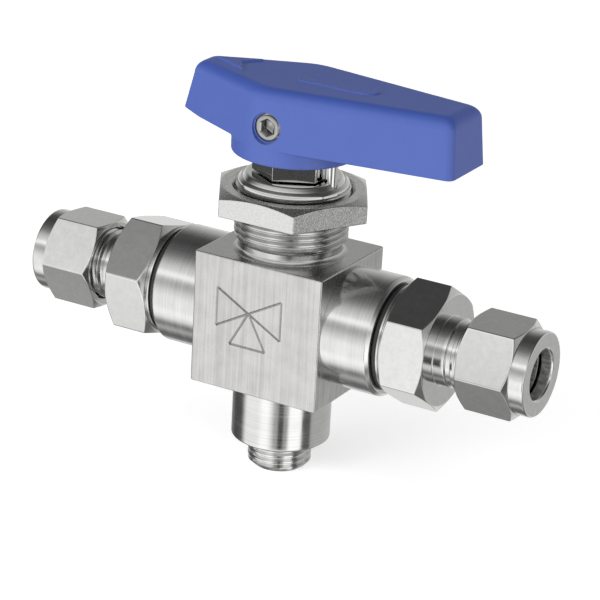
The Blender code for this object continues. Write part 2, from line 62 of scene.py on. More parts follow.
def stack(points, angles):
    """Profile rows from (radius, height) pairs, each a number or one value a column."""
    rows = [[np.broadcast_to(r, angles.shape), np.broadcast_to(h, angles.shape)]
            for r, h in points]
    return np.array(rows, float).transpose(0, 2, 1)


def soften(profile, width, ring=True):
    """Rounds the corners of a profile of rows, columns and (radius, height).

    Each corner gives way to a parabola between points `width` back along its two
    sides, with one more point beyond each end so that the long sides stay flat.
    """
    width = np.asarray(width, float).reshape(-1, 1, 1)
    back = np.roll(profile, 1, axis=0) - profile
    on = np.roll(profile, -1, axis=0) - profile
    reach_back = np.maximum(np.linalg.norm(back, axis=2, keepdims=True), 1e-9)
    reach_on = np.maximum(np.linalg.norm(on, axis=2, keepdims=True), 1e-9)
    trim = np.minimum(width, 0.4 * np.minimum(reach_back, reach_on))
    back, on = back / reach_back, on / reach_on
    start, end = profile + back * trim, profile + on * trim
    points = [profile + back * np.minimum(1.9 * trim, 0.49 * reach_back)]
    for t in (0.0, 0.25, 0.5, 0.75, 1.0):
        points.append((1 - t) ** 2 * start + 2 * t * (1 - t) * profile + t * t * end)
    points.append(profile + on * np.minimum(1.9 * trim, 0.49 * reach_on))
    rows = np.stack(points, axis=1)
    if not ring:
        rows[0] = profile[0]
        rows[-1] = profile[-1]
    return rows.reshape(-1, *profile.shape[1:])


def wrap(name, grid, ring=True, spirals=()):
    """Mesh over a grid of points in millimetres: rows, columns, (x, y, z).

    Columns join round, and rows too when ring is set.  In a spiral span (first row,
    last row, rows a turn) the joint between the last and first column steps on by one
    turn.  Points that coincide become one, which closes poles, seams and cut threads.
    """
    rows, columns = grid.shape[:2]
    here = np.arange(rows * columns).reshape(rows, columns)
    beside = np.roll(here, -1, axis=1)
    for first, last, turn in spirals:
        span = np.arange(first, last + 1)
        beside[span, -1] = here[np.minimum(span + turn, last), 0]
    low = np.arange(rows if ring else rows - 1)
    high = (low + 1) % rows
    quads = np.stack([here[low], beside[low], beside[high], here[high]], axis=-1).reshape(-1, 4)
    points, same = np.unique(np.round(grid.reshape(-1, 3), 5), axis=0, return_inverse=True)
    quads = same.reshape(-1)[quads]
    double = quads == np.roll(quads, -1, axis=1)
    whole = quads[double.sum(axis=1) == 0]
    one = double.sum(axis=1) == 1
    corners = quads[one][~double[one]].reshape(-1, 3)
    mesh = bpy.data.meshes.new(name)
    mesh.from_pydata((points * 0.001).tolist(), [], whole.tolist() + corners.tolist())
    bm = bmesh.new()
    bm.from_mesh(mesh)
    bmesh.ops.recalc_face_normals(bm, faces=bm.faces)
    bm.to_mesh(mesh)
    bm.free()
    obj = bpy.data.objects.new(name, mesh)
    bpy.context.scene.collection.objects.link(obj)
    return obj


def cut(obj, tool, operation="DIFFERENCE"):
    """Cuts a tool out of a piece, or joins it on, and puts the result in its mesh."""
    change = obj.modifiers.new("cut", "BOOLEAN")
    change.operation = operation
    change.solver = "EXACT"
    change.object = tool
    bpy.context.view_layer.update()
    view = bpy.context.evaluated_depsgraph_get()
    mesh = bpy.data.meshes.new_from_object(obj.evaluated_get(view))
    obj.modifiers.clear()
    old, obj.data = obj.data, mesh
    bpy.data.meshes.remove(old)
    bpy.data.objects.remove(tool)


def settle(obj, body, nodes, finish):
    """Gives a piece its finish, shading, body and material slot, and hides the solids it stands
    for.
    """
    obj.data.materials.clear()
    obj.data.materials.append(finish)
    obj.data.shade_smooth()
    obj.data.set_sharp_from_angle(angle=math.radians(38.0))
    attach(obj, body)
    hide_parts(*nodes)


def steel(name, tint, roughness, grain, depth, uneven=0.15, blotch=400.0, shade=0.05):
    """Stainless steel: noise stretched to `grain` cycles a metre along x, y and z makes
    the tool marks, `depth` deep, and a slow noise of `blotch` cycles a metre joins it to
    move the tint by `shade` and the roughness by `uneven`, each way.
    """
    mat = bpy.data.materials.new(name)
    mat.use_nodes = True
    nodes, links = mat.node_tree.nodes, mat.node_tree.links
    shader = nodes["Principled BSDF"]
    shader.inputs["Metallic"].default_value = 1.0
    place = nodes.new("ShaderNodeTexCoord")
    stretch = nodes.new("ShaderNodeMapping")
    stretch.inputs["Scale"].default_value = grain
    marks = nodes.new("ShaderNodeTexNoise")
    marks.inputs["Scale"].default_value = 1.0
    marks.inputs["Detail"].default_value = 4.0
    marks.inputs["Roughness"].default_value = 0.65
    slow = nodes.new("ShaderNodeTexNoise")
    slow.inputs["Scale"].default_value = blotch
    slow.inputs["Detail"].default_value = 3.0
    both = nodes.new("ShaderNodeMath")
    both.operation = "MULTIPLY_ADD"
    both.inputs[1].default_value = 0.5
    spread = nodes.new("ShaderNodeMapRange")
    spread.inputs["From Min"].default_value = 0.55
    spread.inputs["From Max"].default_value = 0.95
    rough = nodes.new("ShaderNodeMapRange")
    rough.inputs["To Min"].default_value = roughness * (1.0 - uneven)
    rough.inputs["To Max"].default_value = roughness * (1.0 + uneven)
    tone = nodes.new("ShaderNodeMix")
    tone.data_type = "RGBA"
    tone.inputs["A"].default_value = (*[(1.0 - shade) * c for c in tint], 1.0)
    tone.inputs["B"].default_value = (*[(1.0 + shade) * c for c in tint], 1.0)
    bump = nodes.new("ShaderNodeBump")
    bump.inputs["Strength"].default_value = depth
    bump.inputs["Distance"].default_value = 0.00002
    links.new(place.outputs["Object"], stretch.inputs["Vector"])
    links.new(place.outputs["Object"], slow.inputs["Vector"])
    links.new(stretch.outputs["Vector"], marks.inputs["Vector"])
    links.new(slow.outputs["Fac"], both.inputs[0])
    links.new(marks.outputs["Fac"], both.inputs[2])
    links.new(both.outputs["Value"], spread.inputs["Value"])
    links.new(spread.outputs["Result"], rough.inputs["Value"])
    links.new(spread.outputs["Result"], tone.inputs["Factor"])
    links.new(tone.outputs["Result"], shader.inputs["Base Color"])
    links.new(rough.outputs["Result"], shader.inputs["Roughness"])
    links.new(marks.outputs["Fac"], bump.inputs["Height"])
    links.new(bump.outputs["Normal"], shader.inputs["Normal"])
    return mat


def boxed(angles, half_x, half_y, corner):
    """Distance from the axis to the side of a rectangle with rounded corners."""
    c, s = np.abs(np.cos(angles)), np.abs(np.sin(angles))
    side = np.minimum(half_x / np.maximum(c, 1e-9), half_y / np.maximum(s, 1e-9))
    cx, cy = half_x - corner, half_y - corner
    along = cx * c + cy * s
    across = cx * s - cy * c
    bend = along + np.sqrt(np.maximum(corner ** 2 - across ** 2, 0.0))
    return np.where((side * c > cx) & (side * s > cy), bend, side)


block_x, block_y, block_top, block_foot = 14.2, 12.4, 12.75, -14.6
block_edge, corner_gap = 0.35, 0.03
bend_start = math.atan2(block_y - block_edge, block_x)
bend_end = math.atan2(block_y, block_x - block_edge)
quarter = np.concatenate([np.linspace(0.0, bend_start - corner_gap, 14),
                          np.linspace(bend_start, bend_end, 7),
                          np.linspace(bend_end + corner_gap, math.pi / 2, 14)])
around = np.unique(np.round(np.concatenate(
    [quarter, math.pi - quarter, math.pi + quarter, 2 * math.pi - quarter]) % (2 * math.pi), 6))
outline = boxed(around, block_x, block_y, block_edge)
stem_bore, flange_bore, flow_bore, flange_seat = 3.4, 5.2, 3.55, 11.0
block_rows = stack([(stem_bore, block_top), (outline, block_top), (outline, block_foot),
                    (flow_bore, block_foot), (flow_bore, 0.0), (flange_bore, 1.0),
                    (flange_bore, flange_seat), (stem_bore, flange_seat)], around)
bore_edge, outer_edge = 0.05, 0.3
block_rows = soften(block_rows, [bore_edge, outer_edge, outer_edge] + 5 * [bore_edge])


def spin(profile, angles, side=0):
    """Carries a profile round the stem axis, or for side +1 or -1 round the run axis.

    Round the run the height counts outwards and angles start at the front, going up.
    """
    r, h = profile[..., 0], profile[..., 1]
    if side == 0:
        return np.stack([r * np.cos(angles), r * np.sin(angles), h], axis=-1)
    return np.stack([side * h, -r * np.cos(angles), r * np.sin(angles)], axis=-1)


def circle(columns):
    """Evenly spaced angles of one turn."""
    return np.arange(columns) * (2.0 * math.pi / columns)


block = wrap("ground_block", spin(block_rows, around))
round_96 = circle(96)
run_bore, past_block = 9.2, block_x + 1.0
run_tool = stack([(0.0, -past_block), (run_bore, -past_block),
                  (run_bore, past_block), (0.0, past_block)], round_96)
cut(block, wrap("run_tool", spin(run_tool, round_96, 1), ring=False))


def groove(x, z, angle, length, wide, deep, front):
    """Straight cutter with a V section, `wide` either side of a line on the front face
    and `deep` into it, centred at x and z and turned by an angle."""
    u = np.array([math.cos(angle), 0.0, math.sin(angle)])
    v = np.array([-math.sin(angle), 0.0, math.cos(angle)])
    w = np.array([0.0, 1.0, 0.0])
    ends = np.array([-0.5, 0.5]) * length
    section = [(-wide, -deep), (wide, -deep), (0.0, deep)]
    ring = [[np.array([x, front, z]) + u * e + v * a + w * b for a, b in section] for e in ends]
    middle = [np.repeat(np.mean(r, axis=0)[None], 3, axis=0) for r in ring]
    return wrap("sign_tool", np.array([middle[0], ring[0], ring[1], middle[1]]), ring=False)


sign_x, sign_z = -1.6, 2.4
sign_wide, sign_high, sign_deep, stroke_half = 7.2, 4.0, 0.36, 0.5
tip = math.atan2(sign_high, sign_wide)
slope = math.hypot(sign_wide, sign_high)
strokes = [(sign_wide * k / 2, sign_high * j / 2, j * k * tip, slope)
           for k in (-1, 1) for j in (-1, 1)]
strokes += [(sign_wide * k, 0.0, math.pi / 2, 2 * sign_high) for k in (-1, 1)]
strokes += [(sign_high * k / 2, -sign_wide / 2, math.pi / 2 + k * tip, slope) for k in (-1, 1)]
strokes += [(0.0, -sign_wide, 0.0, 2 * sign_high)]
for x, z, angle, length in strokes:
    cut(block, groove(sign_x + x, sign_z + z, angle, length, stroke_half, sign_deep,
                      -block_y))
ground = steel("ground_steel", (0.54, 0.535, 0.53), roughness=0.25,
               grain=(1500.0, 1500.0, 35.0), depth=0.6, uneven=0.3, blotch=300.0, shade=0.14)
settle(block, "body", ["valve_body"], ground)

# ------------------------------------------------------------------ run bosses
# Two turned bosses of the same forging stand on the block's sides.  They are bored
# through for the end connectors and finished bright, with fine lines round them.

boss_r, boss_end, boss_edge, buried = 12.0, 24.55, 0.7, 0.05
boss_start = block_x - buried
run_turned = steel("run_turned_steel", (0.68, 0.68, 0.67), roughness=0.15,
                   grain=(2200.0, 30.0, 30.0), depth=0.3, uneven=0.3, blotch=300.0, shade=0.08)
round_192 = circle(192)
for hand, side in (("right", 1), ("left", -1)):
    boss_rows = stack([(run_bore, boss_start), (boss_r, boss_start),
                       (boss_r, boss_end - boss_edge), (boss_r - boss_edge, boss_end),
                       (run_bore, boss_end)], round_192)
    boss = wrap(hand + "_run_boss", spin(soften(boss_rows, 0.15), round_192, side))
    settle(boss, "body", ["valve_body"], run_turned)

# ------------------------------------------------------------------ neck
# The threaded neck carries the packing and the panel nut: 20 threads an inch, a
# smooth waist rounded into the block below them, and a bright rounded shoulder.

pitch = 1.27


def thread(low, high, crest, depth, share, lead, lead_low=99.0):
    """Rows of a right hand thread, between two heights, for columns at a share of a turn.

    Each turn has a flat crest, two flanks and a rounded root.  A point's height is its
    turn plus its place in the turn plus its column's share, times the pitch, held
    between low and high; its radius follows its phase there, under a 45 degree lead
    that starts at radius `lead` at the top and `lead_low` at the bottom.
    """
    place = np.array([0.11, 0.41, 0.5, 0.59, 0.89])
    radius = np.array([crest, crest - depth, crest - depth - 0.03, crest - depth, crest])
    turns = np.arange(-1, math.ceil((high - low) / pitch) + 2)
    count = (turns[:, None] + place[None, :]).reshape(-1, 1)
    height = np.clip(low + pitch * (count + share[None, :] - 1.0), low, high)
    phase = ((height - low) / pitch - share[None, :]) % 1.0
    r = np.interp(phase, place, radius, period=1.0)
    r = np.minimum(r, np.minimum(lead + (high - height), lead_low + (height - low)))
    return np.stack([r, height], axis=-1), len(place)


neck_r, neck_depth, neck_top, shoulder_r, lead_r = 11.25, 0.62, 28.5, 9.4, 11.0
thread_low, thread_high = 14.8, 26.5
waist_r, fillet, chamber_r, chamber_floor = 10.2, 1.07, 5.7, 14.5
neck_foot = block_top - 0.03
share = np.arange(192) / 192.0
neck_thread, a_turn = thread(thread_low, thread_high, neck_r, neck_depth, share, lead_r, waist_r)
sweep = np.radians(np.linspace(0.0, 90.0, 7))
foot_rows = [(waist_r + fillet * (1 - math.cos(a)), block_top + fillet * (1 - math.sin(a)))
             for a in sweep]
below = stack([(waist_r, thread_low - 0.05), *foot_rows, (neck_r + 0.07, neck_foot)],
              round_192)[::-1]
chamber_edge = 0.4
shoulder = stack([(lead_r, thread_high + 0.02), (10.9, 27.1), (10.25, 27.65), (10.1, 27.5),
                  (9.95, 27.75), (shoulder_r, neck_top), (chamber_r + chamber_edge, neck_top),
                  (chamber_r, neck_top - chamber_edge)], round_192)
shoulder = soften(shoulder, [0.05, 0.4, 0.2, 0.05, 0.2, 0.45, 0.05, 0.05], ring=False)
inside = stack([(chamber_r, chamber_floor), (stem_bore, chamber_floor),
                (stem_bore, neck_foot)], round_192)
rows = np.concatenate([below, neck_thread, shoulder, inside])
span = (len(below), len(below) + len(neck_thread) - 1, a_turn)
neck = wrap("threaded_neck", spin(rows, round_192), spirals=[span])
pin_low, pin_high = box_mm("stop_pin")
pin_x, pin_y = (pin_low[:2] + pin_high[:2]) / 2.0
pin_r = (pin_high[0] - pin_low[0]) / 2.0
hole_r, hole_foot, past_neck = pin_r + 0.08, pin_low[2] - 0.1, neck_top + 3.0
round_48 = circle(48)
hole = stack([(0.0, hole_foot), (hole_r, hole_foot), (hole_r, past_neck), (0.0, past_neck)],
             round_48)
cut(neck, wrap("pin_tool", spin(hole, round_48) + [pin_x, pin_y, 0.0], ring=False))
stem_turned = steel("stem_turned_steel", (0.67, 0.67, 0.66), roughness=0.15,
                    grain=(30.0, 30.0, 2200.0), depth=0.3, uneven=0.3, blotch=300.0, shade=0.08)
# The thread's steel is as cut and rougher, and its darker tint is painted shade from the panel
# nut above.
neck_cut = steel("neck_thread_painted_shade_steel", (0.52, 0.52, 0.51), roughness=0.2,
                 grain=(60.0, 60.0, 1500.0), depth=0.4, uneven=0.35, blotch=500.0, shade=0.18)
bright = steel("bright_steel", (0.68, 0.68, 0.67), roughness=0.09,
               grain=(900.0, 900.0, 900.0), depth=0.08)

# The shoulder above the thread is polished, the thread and the waist are as cut, in a darker tint
# that is painted shade under the panel nut.

settle(neck, "body", ["valve_body"], neck_cut)
neck.data.materials.append(bright)
heights = np.array([face.center.z for face in neck.data.polygons]) * 1000.0
neck.data.polygons.foreach_set("material_index", (heights > thread_high + 0.1).astype(np.int32))

# ------------------------------------------------------------------ bottom port
# The common port is a turned boss under the block with a short threaded stub for
# its fitting and a plain mouth that leads up to the ball.

port_r, port_foot, stub_r, stub_relief, stub_foot = 9.93, -26.7, 6.4, 5.8, -33.0
stub_depth, stub_lead, port_start = 0.6, 5.4, block_foot + buried
mouth_r, mouth_wide, mouth_lip, mouth_floor = 4.05, 4.75, -31.0, -25.5
stub_thread, a_turn = thread(stub_foot, port_foot - 1.1, stub_r, stub_depth, share,
                             stub_relief, stub_lead)
up = stack([(stub_relief, port_foot - 0.95), (stub_relief, port_foot - 0.65),
            (stub_r + 0.05, port_foot), (port_r, port_foot), (port_r, port_start),
            (flow_bore, port_start), (flow_bore, mouth_floor + 0.5), (mouth_r, mouth_floor),
            (mouth_r, mouth_lip), (mouth_wide, stub_foot)], round_192)
up = soften(up, [0.05, 0.1, 0.05, 0.35, 0.01, 0.01, 0.05, 0.05, 0.05, 0.15], ring=False)
rows = np.concatenate([stub_thread, up])
port = wrap("bottom_port", spin(rows, round_192), spirals=[(0, len(stub_thread) - 1, a_turn)])
settle(port, "body", ["valve_body"], stem_turned)

# ------------------------------------------------------------------ packing nut and pin
# A small hexagon nut presses the packing down, and a dowel beside it in the neck's
# top stops the handle.  Both are bright steel.


def hex_angles(across, flat, corner):
    """Angles round a hexagon bar: crowded at each rounded corner, even on the flats."""
    bend = math.pi / 6 - math.atan((across / 2 - corner) / math.cos(math.pi / 6) / across)
    near = np.array([-1.9, -1.0, -0.5, 0.0, 0.5, 1.0, 1.9]) * bend
    between = np.linspace(1.9 * bend, math.radians(60.0) - 1.9 * bend, 18)[1:-1]
    one = np.concatenate([near, between]) + math.radians(flat + 30.0)
    return (one[None, :] + np.radians(60.0 * np.arange(6))[:, None]).reshape(-1)


def hex_side(angles, across, flat, corner):
    """Distance from the axis to a hexagon bar: half the width over the cosine of the
    angle from the nearest flat, or the small circle that rounds each corner."""
    turn = (angles - math.radians(flat) + math.pi / 6) % (math.pi / 3) - math.pi / 6
    centre = (across / 2 - corner) / math.cos(math.pi / 6)
    away = math.pi / 6 - np.abs(turn)
    reach = np.maximum(corner ** 2 - (centre * np.sin(away)) ** 2, 0.0)
    bend = math.pi / 6 - math.atan(centre / across)
    return np.where(away < bend, centre * np.cos(away) + np.sqrt(reach),
                    across / 2 / np.cos(turn))


gland_low, gland_high = box_mm("packing_nut")
gland_across, gland_flat, gland_corner, gland_foot, spigot_r = 14.29, -61.2, 0.07, 28.8, 5.4
angles = hex_angles(gland_across, gland_flat, gland_corner)
flats = hex_side(angles, gland_across, gland_flat, gland_corner)
steep = math.tan(math.radians(30.0))
face_in = 0.1
gland_rows = stack([(stem_bore, gland_high[2]), (gland_across / 2 - face_in, gland_high[2]),
                    (flats, gland_high[2] - (flats - gland_across / 2 + face_in) * steep),
                    (flats, gland_foot), (spigot_r, gland_foot), (spigot_r, gland_low[2]),
                    (stem_bore, gland_low[2])], angles)
gland = wrap("packing_gland_nut", spin(soften(gland_rows, 0.06), angles))
settle(gland, "body", ["packing_nut"], bright)
pin_rows = stack([(0.0, pin_low[2]), (pin_r, pin_low[2]), (pin_r, pin_high[2]),
                  (0.0, pin_high[2])], round_48)
pin = wrap("handle_stop_dowel", spin(soften(pin_rows, 0.2, ring=False), round_48)
           + [pin_x, pin_y, 0.0], ring=False)
settle(pin, "body", ["stop_pin"], bright)

# ------------------------------------------------------------------ panel nut
# A thin nut, 28.6 mm across flats, clamps the valve in a panel.  It is sawn from
# hexagon bar, its top is turned to a shallow chamfer, and its flats keep a coarse
# pickled grain.

nut_low, nut_high = box_mm("panel_nut")
nut_across = nut_high[1] - nut_low[1]
nut_flat, nut_corner, nut_burr, nut_sink = 30.0, 0.3, 0.15, 0.6
nut_bore = neck_r + 0.3
angles = hex_angles(nut_across, nut_flat, nut_corner)
flats = hex_side(angles, nut_across, nut_flat, nut_corner)
shallow = math.tan(math.radians(22.0))
face = nut_across / 2 - 0.25
nut_rows = stack([(face, nut_high[2]), (flats, nut_high[2] - (flats - face) * shallow),
                  (flats, nut_low[2] + nut_burr), (flats - nut_burr, nut_low[2]),
                  (nut_bore + nut_sink, nut_low[2]), (nut_bore, nut_low[2] + nut_sink),
                  (nut_bore, nut_high[2] - nut_sink), (nut_bore + nut_sink, nut_high[2])],
                 angles)
panel_nut = wrap("panel_clamp_nut", spin(soften(nut_rows, 0.12), angles))
pickled = steel("pickled_steel", (0.64, 0.64, 0.63), roughness=0.24,
                grain=(3400.0, 3400.0, 3400.0), depth=1.0, uneven=0.4, blotch=1900.0, shade=0.1)
pickled.node_tree.nodes["Bump"].inputs["Distance"].default_value = 0.00006
settle(panel_nut, "clamping_nut", ["panel_nut"], pickled)

# ------------------------------------------------------------------ end connectors
# Each connector screws into the run with a rubber ring under its collar.  Outside it
# has a hexagon, a plain neck with a relief and the thread that its tube nut turns on.

conn_across, conn_corner = 22.225, 0.3
hex_start, hex_end = 26.5, 35.9
conn_tilt = {"right": 5.3, "left": -15.9}
shank_start, shank_r, shank_edge = 9.3, 8.9, 0.5
collar_start, collar_end, collar_r, under_hex = 25.7, 26.1, 10.9, 10.6
plain_r, plain_end, relief_r, relief_end = 6.9, 38.2, 6.5, 39.25
tube_thread_r, tube_thread_start, tube_depth, tube_lead = 7.14, 39.3, 0.6, 6.35
socket_r, socket_wide, socket_floor, socket_lip = 4.9, 5.55, 40.0, 44.6
drawn = steel("drawn_hexagon_steel", (0.67, 0.67, 0.66), roughness=0.11,
              grain=(900.0, 900.0, 900.0), depth=0.1, uneven=0.2, blotch=500.0)
for hand, side in (("right", 1), ("left", -1)):
    low, high = box_mm(hand + "_connector")
    mouth = max(abs(low[0]), abs(high[0]))
    angles = hex_angles(conn_across, conn_tilt[hand], conn_corner)[::-side]
    flats = hex_side(angles, conn_across, conn_tilt[hand], conn_corner)
    share = (angles - angles[0]) * -side / (2.0 * math.pi)
    turned, a_turn = thread(tube_thread_start, mouth, tube_thread_r, tube_depth, share,
                            tube_lead, relief_r)
    face = conn_across / 2 - face_in
    out = (flats - face) * steep
    inner = stack([(flow_bore, shank_start), (shank_r - shank_edge, shank_start),
                   (shank_r, shank_start + shank_edge), (shank_r, collar_start),
                   (collar_r, collar_start), (collar_r, collar_end),
                   (under_hex, collar_end + 0.1), (under_hex, hex_start), (face, hex_start),
                   (flats, hex_start + out), (flats, hex_end - out), (face, hex_end),
                   (plain_r, hex_end), (plain_r, plain_end), (relief_r, plain_end + 0.3),
                   (relief_r, relief_end)], angles)
    inner = soften(inner, [0.05, 0.1, 0.1, 0.05, 0.12, 0.1, 0.05, 0.05, 0.1, 0.15, 0.15, 0.15,
                           0.15, 0.1, 0.1, 0.05], ring=False)
    bore = stack([(socket_wide, mouth), (socket_r, socket_lip), (socket_r, socket_floor),
                  (flow_bore, socket_floor)], angles)
    rows = np.concatenate([inner, turned, bore])
    span = (len(inner), len(inner) + len(turned) - 1, a_turn)
    piece = wrap(hand + "_end_fitting", spin(rows, angles, side), spirals=[span])
    settle(piece, "body", [hand + "_connector"], drawn)

# The two rings are black fluorocarbon rubber, squeezed to about a millimetre between
# the boss and the collar, with a satin skin.


def plastic(name, colour, roughness, speck, depth, mottle=0.06):
    """Moulded plastic: a fine grain of `speck` cycles a metre breaks up the gloss and
    the level, and a slow cloud shifts the colour by `mottle`."""
    mat = bpy.data.materials.new(name)
    mat.use_nodes = True
    nodes, links = mat.node_tree.nodes, mat.node_tree.links
    shader = nodes["Principled BSDF"]
    place = nodes.new("ShaderNodeTexCoord")
    grain = nodes.new("ShaderNodeTexNoise")
    grain.inputs["Scale"].default_value = speck
    grain.inputs["Detail"].default_value = 3.0
    cloud = nodes.new("ShaderNodeTexNoise")
    cloud.inputs["Scale"].default_value = 140.0
    cloud.inputs["Detail"].default_value = 4.0
    tone = nodes.new("ShaderNodeMix")
    tone.data_type = "RGBA"
    tone.inputs["A"].default_value = (*[c * (1.0 - mottle) for c in colour], 1.0)
    tone.inputs["B"].default_value = (*[c * (1.0 + mottle) for c in colour], 1.0)
    rough = nodes.new("ShaderNodeMapRange")
    rough.inputs["From Min"].default_value = 0.3
    rough.inputs["From Max"].default_value = 0.7
    rough.inputs["To Min"].default_value = roughness * 0.85
    rough.inputs["To Max"].default_value = roughness * 1.15
    bump = nodes.new("ShaderNodeBump")
    bump.inputs["Strength"].default_value = depth
    bump.inputs["Distance"].default_value = 0.00003
    for pattern in (grain, cloud):
        links.new(place.outputs["Object"], pattern.inputs["Vector"])
    links.new(cloud.outputs["Fac"], tone.inputs["Factor"])
    links.new(tone.outputs["Result"], shader.inputs["Base Color"])
    links.new(grain.outputs["Fac"], rough.inputs["Value"])
    links.new(rough.outputs["Result"], shader.inputs["Roughness"])
    links.new(grain.outputs["Fac"], bump.inputs["Height"])
    links.new(bump.outputs["Normal"], shader.inputs["Normal"])
    return mat


rubber = plastic("black_ring_rubber", (0.024, 0.024, 0.025), roughness=0.42,
                 speck=2500.0, depth=0.3, mottle=0.25)
ring_deep, ring_half = 0.5, 0.6
for hand, side in (("right", 1), ("left", -1)):
    low, high = box_mm(hand + "_connector_seal")
    middle = abs(high[0] + low[0]) / 2.0
    turn = circle(24)
    ring_rows = stack([(high[2] - ring_deep * (1.0 - math.cos(a)),
                        middle + ring_half * math.sin(a)) for a in turn], round_192)
    piece = wrap(hand + "_rubber_ring", spin(ring_rows, round_192, side))
    settle(piece, "body", [hand + "_connector_seal"], rubber)

# ------------------------------------------------------------------ tube nuts
# A compression nut on each connector: a hexagon with a round collar at its mouth,
# drilled for the thread, the ferrules and the tube, which leaves a dull bore.

tube_across, tube_corner = 17.46, 0.25
tube_tilt = {"right": 25.0, "left": 31.9}
mouth_collar_r, mouth_collar, tube_bore, tube_edge = 8.4, 3.0, 4.95, 0.35
thread_bore, thread_edge, thread_end = 7.44, 0.4, 49.2
back_bore, back_start, back_end, cone_r, cone_end = 6.7, 50.0, 51.7, 5.25, 53.2
bored = steel("bored_steel", (0.7, 0.7, 0.69), roughness=0.5,
              grain=(700.0, 1500.0, 1500.0), depth=0.8, uneven=0.35, blotch=900.0, shade=0.25)
for hand, side in (("right", 1), ("left", -1)):
    low, high = box_mm(hand + "_nut")
    start, end = sorted((abs(low[0]), abs(high[0])))
    angles = hex_angles(tube_across, tube_tilt[hand], tube_corner)
    flats = hex_side(angles, tube_across, tube_tilt[hand], tube_corner)
    face = tube_across / 2 - face_in
    out = (flats - face) * steep
    behind = end - mouth_collar
    nut_rows = stack([(tube_bore + tube_edge, end), (mouth_collar_r, end),
                      (mouth_collar_r, behind), (face, behind), (flats, behind - out),
                      (flats, start + out), (face, start), (thread_bore + thread_edge, start),
                      (thread_bore, start + thread_edge), (thread_bore, thread_end),
                      (back_bore, back_start), (back_bore, back_end), (cone_r, cone_end),
                      (tube_bore, cone_end), (tube_bore, end - tube_edge)], angles)
    nut_rows = soften(nut_rows, [0.15, 0.45, 0.12, 0.1, 0.15, 0.15, 0.15, 0.05, 0.05, 0.1, 0.1,
                                 0.1, 0.05, 0.05, 0.15])
    piece = wrap(hand + "_tube_nut", spin(nut_rows, angles, side))
    settle(piece, hand + "_tube_nut", [hand + "_nut"], drawn)
    piece.data.materials.append(bored)
    middles = np.array([f.center[:] for f in piece.data.polygons]) * 1000.0
    inside_bore = np.hypot(middles[:, 1], middles[:, 2]) < tube_bore + 0.05
    piece.data.polygons.foreach_set("material_index", inside_bore.astype(np.int32))

# ------------------------------------------------------------------ ferrules
# In each connector's mouth lies a tapered front ferrule, and behind it a back ferrule.
# Both are turned rings that the nut pushes on to the tube.

for hand, side in (("right", 1), ("left", -1)):
    for name, profile in (("front", [(6.3, 49.5), (6.3, 48.3), (5.3, 48.0), (5.1, 46.0),
                                     (4.85, 46.0), (4.85, 49.5)]),
                          ("back", [(5.3, 52.5), (6.3, 51.5), (6.3, 50.5), (5.6, 49.8),
                                    (4.85, 49.8), (4.85, 52.5)])):
        rows = soften(stack(profile, round_96), 0.08)
        piece = wrap(f"{hand}_{name}_ferrule_ring", spin(rows, round_96, side))
        settle(piece, hand + "_ferrules", [f"{hand}_{name}_ferrule"], bored)

# ------------------------------------------------------------------ stem and ball
# The stem is put in from inside: a tang that turns the ball, a flange that stops it
# being blown out, a ground shank and a flat for the handle's screw.  The polished
# ball has an L shaped way and a slot for the tang.


def slab(name, outline, levels, edge=0.0):
    """Upright slab over a plan outline, with its top edge broken inwards by `edge`."""
    outline = np.array(outline, float)
    middle = np.append(outline.mean(axis=0), 0.0)
    low, high = levels
    reach = np.linalg.norm(outline - middle[:2], axis=1, keepdims=True)
    smaller = middle[:2] + (outline - middle[:2]) * (1.0 - edge / reach)

    def level(points, z):
        """The plan points at one height."""
        return np.column_stack([points, np.full(len(points), z)])

    pole = np.repeat(middle[None], len(outline), axis=0)
    rows = [pole + [0, 0, low], level(outline, low), level(outline, high - edge),
            level(smaller, high), pole + [0, 0, high]]
    return wrap(name, np.array(rows), ring=False)


def oblong(x_low, x_high, y_low, y_high):
    """Plan corners of a rectangle."""
    return [(x_low, y_low), (x_high, y_low), (x_high, y_high), (x_low, y_high)]


stem_r, stem_top, stem_foot, tang_half, tang_foot = 3.1, 44.0, 7.6, 1.3, 5.3
flange_r, flange_top = 4.9, 9.6
stem_rows = stack([(0.0, stem_top), (stem_r, stem_top), (stem_r, flange_top),
                   (flange_r, flange_top), (flange_r, stem_foot), (0.0, stem_foot)], round_96)
stem_rows = soften(stem_rows, [0.1, 0.4, 0.1, 0.1, 0.1, 0.1], ring=False)
shank = wrap("stem_shank", spin(stem_rows, round_96), ring=False)
cut(shank, slab("tang", oblong(-3.9, 3.9, -tang_half, tang_half), (tang_foot, 8.3)), "UNION")
cut(shank, slab("flat_tool", oblong(-5.0, 5.0, -6.0, -2.6), (34.0, 45.0)))
settle(shank, "turning_handle", ["stem"], stem_turned)

ball_r = 7.15
arc = np.radians(np.linspace(90.0, -90.0, 61))
ball_rows = stack([(ball_r * math.cos(a), ball_r * math.sin(a)) for a in arc], round_96)
ball_rows[[0, -1], :, 0] = 0.0
ball = wrap("flow_ball", spin(ball_rows, round_96), ring=False)
past_ball, slot_half, slot_floor = 9.0, 1.6, 5.0
way = [(0.0, -past_ball), (flow_bore, -past_ball), (flow_bore, 0.6), (0.0, 0.6)]
cut(ball, wrap("way_down", spin(stack(way, round_48), round_48), ring=False))
way = [(0.0, -0.5), (flow_bore, -0.5), (flow_bore, past_ball), (0.0, past_ball)]
cut(ball, wrap("way_across", spin(stack(way, round_48), round_48, -1), ring=False))
cut(ball, slab("slot_tool", oblong(-8.0, 8.0, -slot_half, slot_half), (slot_floor, 8.5)))
settle(ball, "turning_handle", ["ball"], bright)

# ------------------------------------------------------------------ seats and packing
# PTFE seats bear on the ball.  Above the stem's flange lie a PEEK thrust washer, three
# PTFE chevron rings between steel glands, and two coned spring washers.

